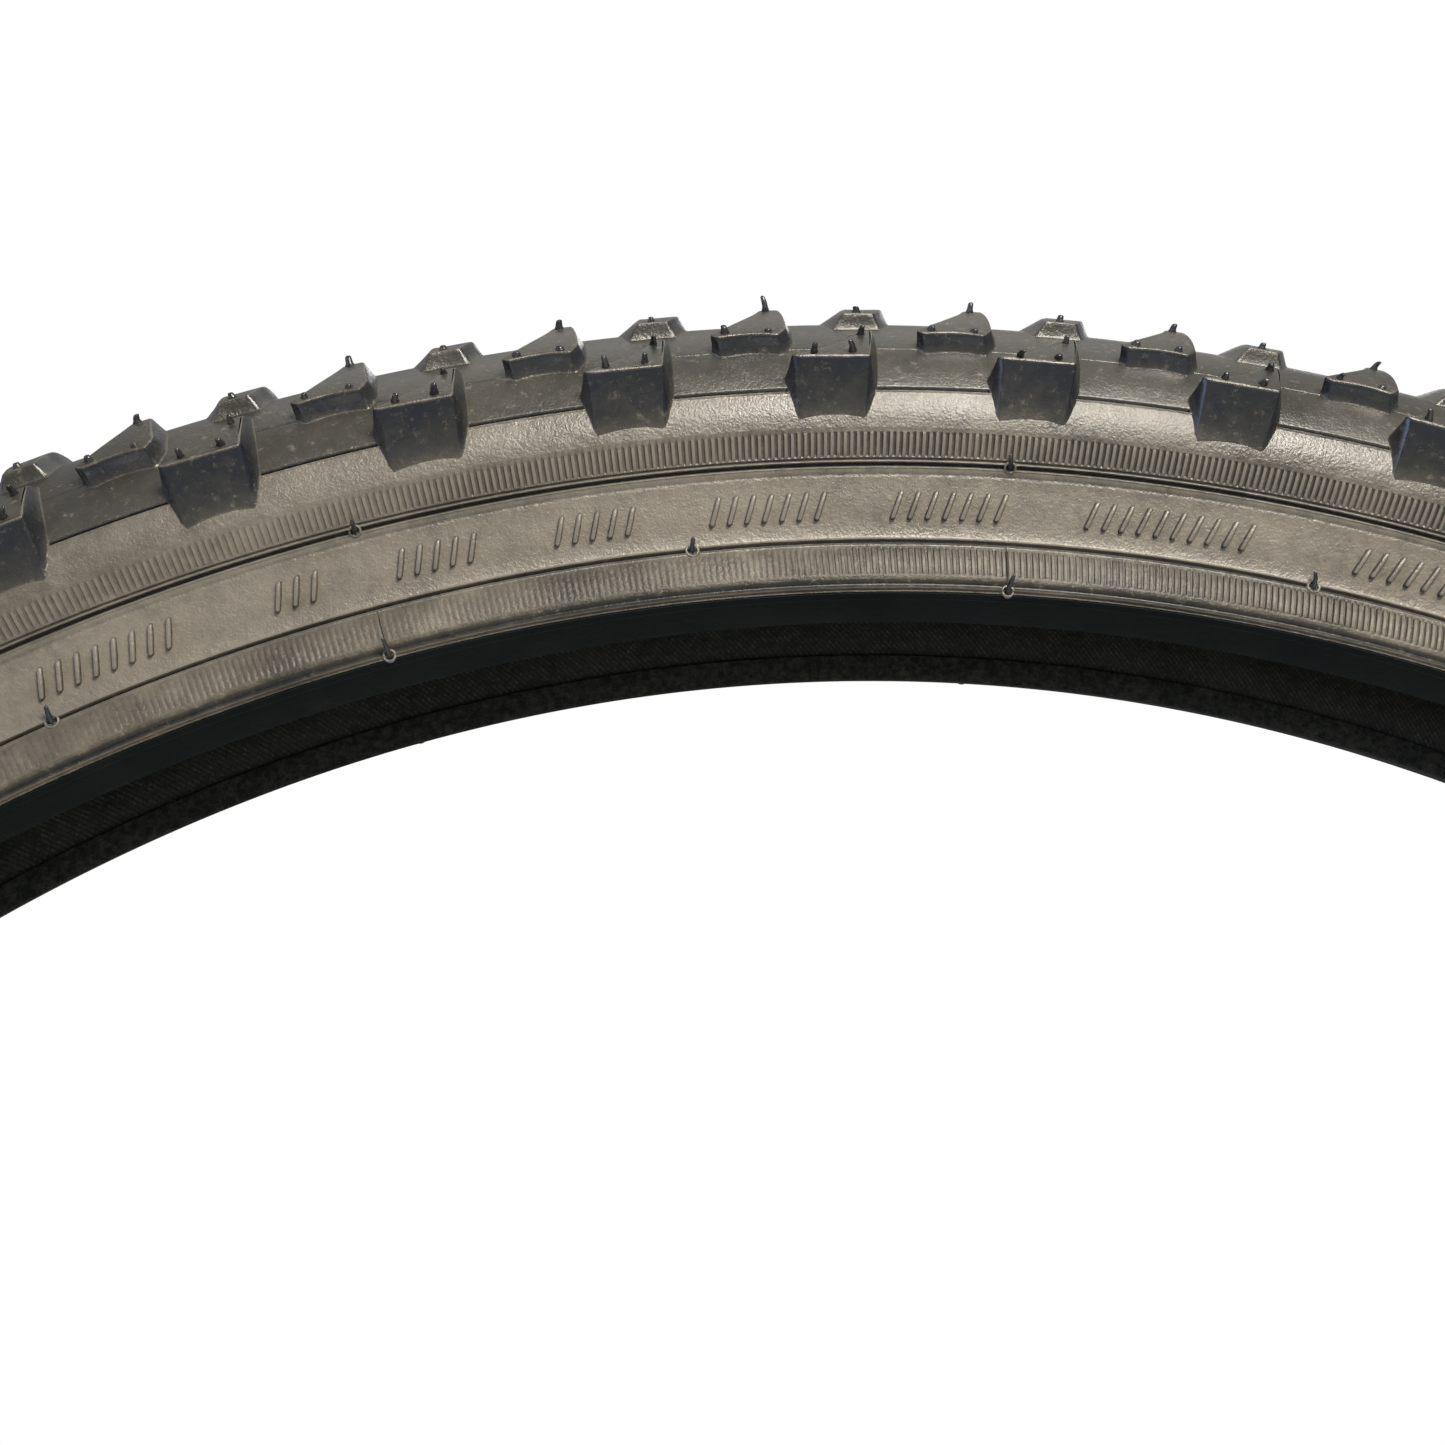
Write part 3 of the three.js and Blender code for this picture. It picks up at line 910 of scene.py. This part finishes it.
def rib_strip(name, start, end, ribs, side, node, strengths, look):
    """A strip of sidewall with a band of fine ribs, round-ended slots pressed between them."""
    low, high = ribs
    level = float(np.interp((low + high) / 2, *zip(*FILM_ALONG)))
    s = np.unique(np.r_[start, low - 0.1, low + 0.12, low + 0.4, (low + high) / 2,
                        high - 0.4, high - 0.12, high + 0.1, end])
    inside = np.clip(np.minimum(s - low, high - s) / 0.45, 0, 1)
    open_ = np.sqrt(1 - (1 - inside) ** 2)
    pitch = 360 / RIBS
    # round one pitch: the two sides of the ridge's top, then the two sides of the slot's floor
    places = [
        np.full_like(s, 0.0), np.full_like(s, RIDGE),
        SLOT_MIDDLE - 0.16 * open_, SLOT_MIDDLE + 0.12 * open_,
    ]
    heights = [RIB_UP * inside] * 2 + [-RIB_DOWN * open_] * 2
    # Ridge tops are lightened as painted highlight and slot floors darkened as painted shade.
    film_and_painted_rib_light = [level + 0.7 * inside] * 2 + [level - 0.7 * open_] * 2
    back = skin(np.array([end, start]), -1.0)
    rows = len(s) + 2
    section = np.empty((4, rows, 2))
    theta, film, flat = np.zeros((4, rows)), np.full((4, rows), level), np.empty((4, rows, 2))
    for k in range(4):
        section[k] = np.vstack([skin(s, relief(s) + heights[k]), back])
        flat[k] = np.vstack([skin(s, relief(s)), back])
        theta[k] = np.r_[places[k], 0.25 * k, 0.25 * k] * pitch
        film[k, :len(s)] = film_and_painted_rib_light[k]
    thetas = (np.arange(RIBS)[:, None, None] * pitch + theta).reshape(4 * RIBS, rows)
    t = np.radians(thetas)
    strength = np.interp(thetas % 360, *zip(*strengths))
    film = level + strength * (np.tile(film, (RIBS, 1)) - level)
    moulded = strength[..., None] * np.tile(section - flat, (RIBS, 1, 1))
    section = np.tile(flat, (RIBS, 1, 1)) + moulded
    a, r = np.moveaxis(section, -1, 0)
    points = np.stack([r * np.sin(t), side * a, r * np.cos(t)], -1).reshape(-1, 3)
    faces = ring_faces(4 * RIBS, rows, facing_in(flat[0], side))
    new_object(name, points, faces, node, "sidewall_rubber", sharp=35, film=film.ravel(), look=look)


def sidewall(half, side):
    upper_end, lower_start, lower_end = 51.9, 66.3, 71.9
    node = f"sidewall_{half}"
    rib_strip(f"{node}_upper_ribs", BAND_EDGE, upper_end, UPPER_RIBS, side, node,
              UPPER_STRENGTH, "sidewall_rubber")
    rib_strip(f"{node}_lower_ribs", lower_start, lower_end, LOWER_RIBS, side, node,
              LOWER_STRENGTH, "heel_rubber")
    panel, film = shell_strip(
        upper_end, lower_start, 0.9,
        [(UPPER_LINE + 0.5, 1.0), (UPPER_LINE + 2.3, 0.7), (LOWER_LINE, 0.75)], (1.0, 1.0))
    ring(f"{node}_panel", panel, side, node, "sidewall_rubber", film=film)
    heel, film = shell_strip(
        lower_end, SKIN_END, 0.4, [(HOLLOW, 0.7), (FLASH, 0.35)], (1.0, 0.8))
    ring(f"{node}_heel", heel, side, node, "sidewall_rubber", film=film, look="heel_rubber")


def raised_bar(theta, side):
    """One slanted raised bar with round ends: its points, faces and film."""
    n = BAR_SIDES
    angles = np.linspace(0, 2 * math.pi, n, endpoint=False)
    across = MARK_WIDTH / 2 * np.cos(angles)
    length = MARK_WIDTH / 2 * np.sin(angles)
    length = length + np.sign(length) * (MARK_LENGTH - MARK_WIDTH) / 2
    points = []
    for size, up in BAR_RINGS:
        v = length + np.sin(angles) * MARK_WIDTH / 2 * (size - 1)
        degrees = theta + (across * size - v * MARK_SLANT) / BAR_MM_PER_DEGREE
        points.append(at(np.degrees((MARK_S + v) / CROWN_r), degrees, up, side))
    middle = math.degrees(MARK_S / CROWN_r)
    points += [at(middle, theta, BAR_TOP, side)[None], at(middle, theta, -0.5, side)[None]]
    last = (len(BAR_RINGS) - 1) * n
    faces = tube_faces(len(BAR_RINGS), n)
    faces += [(last + j, last + (j + 1) % n, last + n) for j in range(n)]
    faces += [((j + 1) % n, j, last + n + 1) for j in range(n)]
    if side < 0:
        faces = [f[::-1] for f in faces]
    # A dark ring at the bar's foot is painted shadow, and the pale top is painted highlight.
    film = np.r_[np.repeat([0.2, 0.1, 1.9, 2.6], n), 2.6, 1]
    return np.vstack(points), faces, film


def panel_marks(half, side):
    """Blocks of slanted raised bars, plain ones, where the panel carries its moulded marks."""
    parts = []
    for block, count in MARK_BLOCKS:
        for turn in (0, 180):
            for i in range(count):
                theta = block + turn + (i - (count - 1) / 2) * MARK_PITCH
                parts.append(raised_bar(theta, side))
    points, faces, film = joined(parts)
    node = f"sidewall_{half}"
    new_object(f"{node}_marks", points, faces, node, "sidewall_rubber", film=film, sharp=50)


# ---- bead and casing --------------------------------------------------------------------------
CORE_A = TOE_A + 3.7            # middle of the wire bundle
CORE_FOOT = HEEL_R + 1.0        # underside of the wire bundle
WIRE = 0.96                     # one wire of the bundle, across
WIRE_SIDES = 8
WIRE_COLUMNS = 240              # steps round the wheel


def rim_strip(half, side):
    corners = [
        (TOE_A, SEAT_R, 0.7), (HEEL_A - 0.12, HEEL_R + 0.05, 0.35),
        (HEEL_A - 0.85, HEEL_R + 0.55, 0),
        (18.55, 281.95, 0), (18.2, 281.5, 0), (13.45, 281.5, 0), (13.3, 281.75, 0),
        (13.3, 284.75, 0.2), (TOE_A, 284.4, 0.25),
    ]
    section = rounded(corners)
    inside = (section[:, 0] < TOE_A + 0.3) & (section[:, 1] > SEAT_R + 0.3)
    ring(f"rim_strip_{half}", section, side, f"rim_strip_{half}", "rim_strip_rubber",
         columns=720, film=np.where(inside, 1.0, 0.0))


def bead_core(half, side):
    """Turns of steel wire lying in two columns under one more turn."""
    parts = []
    spots = [(-0.5, 0.5), (0.5, 0.5), (-0.5, 1.5), (0.5, 1.5), (-0.5, 2.5), (0.5, 2.5), (0, 3.4)]
    angles = np.arange(WIRE_SIDES) * 2 * math.pi / WIRE_SIDES
    thetas = np.arange(WIRE_COLUMNS) * 360 / WIRE_COLUMNS
    for da, dr in spots:
        a = CORE_A + da * WIRE + 0.48 * WIRE * np.cos(angles)
        r = CORE_FOOT + dr * WIRE + 0.48 * WIRE * np.sin(angles)
        section = np.column_stack([a, r])
        points = ring_points(section, thetas, side).reshape(-1, 3)
        faces = ring_faces(WIRE_COLUMNS, WIRE_SIDES, facing_in(section, side))
        parts.append((points, faces, np.zeros(len(points))))
    points, faces, _ = joined(parts)
    new_object(f"bead_core_{half}", points, faces, f"bead_core_{half}", "bead_steel")


def sheet_section(path, thickness):
    """Closed section of a sheet that follows an open path of (a, R) points."""
    path = np.asarray(path, float)
    way = np.gradient(path, axis=0)
    way /= np.linalg.norm(way, axis=1)[:, None]
    normal = np.column_stack([-way[:, 1], way[:, 0]]) * thickness / 2
    return np.vstack([path + normal, (path - normal)[::-1]])


def ply_path(depth, tail):
    """From one bead over the crown to the other, at a depth under the skin."""
    s = np.linspace(0, 62, 16)
    half = smooth_line(np.vstack([skin(s, -depth), tail]), 3)
    return np.vstack([half[:0:-1] * (-1, 1), half])


PLY_T = 0.6
PLY_COLUMNS = 360               # steps round the wheel
PLY_R = 320                     # about where the cords are counted
CORDS = 1800                    # slanted cords round the ply, for the weave
CORD_SLANT = -0.8               # mm round the wheel for each mm across the ply


def casing_plies():
    outer = ply_path(2.5, [(14.8, 286.2), (14.8, 282.8)])
    inner = ply_path(3.4, [(13.95, 286.0), (13.95, 283.1), (14.4, 282.3), (17.6, 282.3),
                           (18.0, 283.0), (18.0, 289.2)])
    for name, path in (("casing_ply_outer", outer), ("casing_ply_inner", inner)):
        section = sheet_section(path, PLY_T)
        obj = ring(name, section, 1, name, "cord_fabric", columns=PLY_COLUMNS)
        weave(obj, section, PLY_COLUMNS)


def weave(obj, section, columns):
    """Counts the cords at every face corner, along and across the bias."""
    rows = len(section)
    d = np.r_[0, np.cumsum(np.linalg.norm(np.diff(section[:rows // 2], axis=0), axis=1))]
    across = np.r_[d, d[::-1]]
    vertex = np.empty(len(obj.data.loops), int)
    obj.data.loops.foreach_get("vertex_index", vertex)
    face = np.arange(len(vertex)) // 4
    column, row = vertex // rows, vertex % rows
    # the last column of faces closes the ring, so there the first column counts as the last
    column = np.where((face // rows == columns - 1) & (column == 0), columns, column)
    mm_per_cord = 2 * math.pi * PLY_R / CORDS
    for name, sign in (("weave", 1), ("weave_across", -1)):
        value = column / columns * CORDS + sign * across[row] * CORD_SLANT / mm_per_cord
        layer = obj.data.attributes.new(name, "FLOAT", "CORNER")
        layer.data.foreach_set("value", value.astype(np.float32))


# ---- stage -----------------------------------------------------------------------------------
FLOOR_HALF = 4                  # metres; further off it would show at the picture's foot


def make_floor():
    mesh = bpy.data.meshes.new("floor")
    size, level = FLOOR_HALF, CAD_BOX[0].z - 0.002
    corners = [
        (x * size, y * size, level) for x, y in ((-1, -1), (1, -1), (1, 1), (-1, 1))
    ]
    mesh.from_pydata(corners, [], [(0, 1, 2, 3)])
    floor = bpy.data.objects.new("floor", mesh)
    bpy.context.scene.collection.objects.link(floor)
    n = Nodes("pale_floor")
    grey = n.blend(n.noise(3, 2), (0.78, 0.78, 0.77, 1), (0.82, 0.82, 0.81, 1))
    mesh.materials.append(n.finish(grey, 0.7))


# Name, place, what it faces, size, radiance and colour.
SOFT_BOXES = [
    ("key", (0.18, -0.62, 0.58), (0.02, 0, 0.31), (0.34, 0.22), 30, (1, 0.935, 0.83)),
    ("low_front", (0.15, -0.5, -0.28), (0.0, 0, 0.3), (0.6, 0.14), 0.9, (1, 0.95, 0.87)),
    ("left", (-1.1, -0.7, 0.5), (0, 0, 0.3), (0.6, 0.6), 3.0, (0.5, 0.62, 1)),
    ("top", (0.0, 0.2, 1.8), (0, 0, 0.3), (1.4, 1.0), 0.6, (1, 0.98, 0.93)),
    ("back", (0.4, 1.5, 1.2), (0, 0, 0), (1.2, 0.8), 2, (1, 1, 1)),
]


def soft_box(name, place, target, size, radiance, colour):
    data = bpy.data.lights.new(name, "AREA")
    data.shape = "RECTANGLE"
    data.size, data.size_y = size
    data.energy = radiance * math.pi * size[0] * size[1]
    data.color = colour
    light = bpy.data.objects.new(name, data)
    bpy.context.scene.collection.objects.link(light)
    away = Vector(place) - Vector(target)
    turn = away.to_track_quat("Z", "Y").to_matrix().to_4x4()
    light.matrix_world = Matrix.Translation(place) @ turn


def make_light():
    """White to the camera, a dim room to the tire, darker below, and large soft boxes."""
    world = bpy.data.worlds.new("studio")
    bpy.context.scene.world = world
    world.use_nodes = True
    tree = world.node_tree
    new, link = tree.nodes.new, tree.links.new
    tree.nodes["Background"].inputs["Color"].default_value = (1, 1, 1, 1)
    place, split = new("ShaderNodeTexCoord"), new("ShaderNodeSeparateXYZ")
    span = new("ShaderNodeMapRange")
    link(place.outputs["Generated"], split.inputs["Vector"])
    link(split.outputs["Z"], span.inputs["Value"])
    for socket, value in (
        ("From Min", -0.5), ("From Max", 0.4), ("To Min", 0.07), ("To Max", 0.42),
    ):
        span.inputs[socket].default_value = value
    room = new("ShaderNodeBackground")
    link(span.outputs["Result"], room.inputs["Strength"])
    path, mix = new("ShaderNodeLightPath"), new("ShaderNodeMixShader")
    link(path.outputs["Is Camera Ray"], mix.inputs["Fac"])
    link(room.outputs["Background"], mix.inputs[1])
    link(tree.nodes["Background"].outputs["Background"], mix.inputs[2])
    link(mix.outputs["Shader"], tree.nodes["World Output"].inputs["Surface"])
    for box in SOFT_BOXES:
        soft_box(*box)
    bpy.context.scene.view_settings.view_transform = "Standard"


# ---- build it ------------------------------------------------------------------------------------
tread_band()
pip_draw = np.random.RandomState(26)
for half_name, half_side in HALVES:
    for knob_name, knob_kind in KNOBS.items():
        knob_row(knob_name, knob_kind, half_name, half_side)
    sidewall(half_name, half_side)
    panel_marks(half_name, half_side)
    vent_pips(half_name, half_side, pip_draw)
    rim_strip(half_name, half_side)
    bead_core(half_name, half_side)
casing_plies()
make_floor()
make_light()
